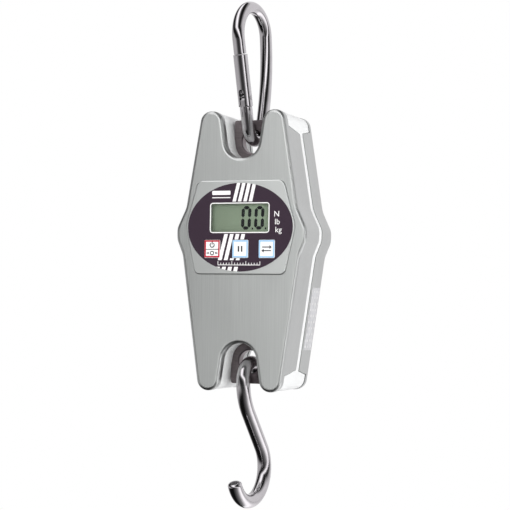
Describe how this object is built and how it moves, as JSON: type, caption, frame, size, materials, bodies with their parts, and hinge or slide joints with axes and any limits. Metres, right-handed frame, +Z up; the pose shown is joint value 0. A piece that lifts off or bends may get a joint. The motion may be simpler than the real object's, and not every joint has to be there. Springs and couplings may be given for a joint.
{
  "type": "hanging crane scale",
  "caption": "Hand-sized hanging scale: a waisted flat housing with display and keys between a snap carabiner above and an open S hook below.",
  "frame": {"origin": "inner top of the carabiner's bend, where the scale hangs from its support", "axes": "+Z up along the load line, front face towards -Y, +X to the viewer's right seen from the front"},
  "size_m": [0.0776, 0.0509, 0.2877],
  "materials": {
    "polished_steel": "polished stainless rod, bright",
    "spring_steel": "bright spring steel",
    "cover_steel": "fine vertical brushed grain, satin",
    "white_core": "moulded white, fine satin texture",
    "black_rubber": "matt black",
    "label": "matt film label",
    "screw_steel": "turned stainless",
    "overlay_film": "fine matt printed film",
    "pale_trim": "printed pale line",
    "clear_window": "clear",
    "lcd_panel": "grey-green reflective liquid crystal",
    "dark_plastic": "moulded black",
    "key_face": "printed film key",
    "circuit_board": "green solder mask",
    "load_cell_steel": "ground steel, dull",
    "gauge_film": "amber film",
    "cell_jacket": "printed sleeve"
  },
  "bodies": {
    "carabiner": {"carabiner_frame": "polished_steel"},
    "gate": {"carabiner_gate": "polished_steel", "gate_pivot_rivet": "polished_steel", "gate_plunger": "spring_steel", "gate_spring": "spring_steel"},
    "hook": {"hook": "polished_steel"},
    "key_power": {"key_power": "key_face"},
    "key_hold": {"key_hold": "key_face"},
    "key_unit": {"key_unit": "key_face"},
    "battery_door": {"battery_door": "cover_steel", "battery_door_screws": "screw_steel"},
    "housing": {"front_cover": "cover_steel", "rear_cover": "cover_steel", "core_frame": "white_core", "front_gasket": "black_rubber", "rear_gasket": "black_rubber", "side_label": "label", "housing_screws": "screw_steel", "keypad_overlay": "overlay_film", "lcd_frame_trim": "pale_trim", "lcd_window": "clear_window", "lcd_glass": "lcd_panel", "lcd_holder": "dark_plastic", "key_switches": "dark_plastic", "main_board": "circuit_board", "board_screws": "screw_steel", "board_chips": "dark_plastic", "board_connector": "pale_trim", "load_cell": "load_cell_steel", "load_cell_screws": "screw_steel", "load_cell_seals": "black_rubber", "strain_gauges": "gauge_film", "battery_tray": "dark_plastic", "battery_cells": "cell_jacket", "battery_contacts": "spring_steel", "battery_springs": "spring_steel", "battery_door_seal": "black_rubber"}
  },
  "joints": [
    {"name": "housing_swing", "type": "hinge", "parent": "carabiner", "child": "housing", "pos_m": [0.0007, 0.00495, -0.0728], "axis": [0, 1, 0], "range_deg": [-18, 18]},
    {"name": "gate_open", "type": "hinge", "parent": "carabiner", "child": "gate", "pos_m": [-0.00104, -0.00738, -0.04888], "axis": [-0.9903, 0.1392, 0], "range_deg": [0, 35], "stiffness_Nm_per_rad": 0.15, "springref_deg": -17.19},
    {"name": "hook_swing", "type": "hinge", "parent": "housing", "child": "hook", "pos_m": [0.0007, 0.00495, -0.1978], "axis": [0, 1, 0], "range_deg": [-18, 18]},
    {"name": "key_power_press", "type": "slide", "parent": "housing", "child": "key_power", "axis": [0, 1, 0], "range_m": [0, 0.0004], "stiffness_N_per_m": 3000, "springref_m": -0.0002},
    {"name": "key_hold_press", "type": "slide", "parent": "housing", "child": "key_hold", "axis": [0, 1, 0], "range_m": [0, 0.0004], "stiffness_N_per_m": 3000, "springref_m": -0.0002},
    {"name": "key_unit_press", "type": "slide", "parent": "housing", "child": "key_unit", "axis": [0, 1, 0], "range_m": [0, 0.0004], "stiffness_N_per_m": 3000, "springref_m": -0.0002},
    {"name": "battery_door_lift", "type": "slide", "parent": "housing", "child": "battery_door", "axis": [0, 1, 0], "range_m": [0, 0.012]}
  ]
}
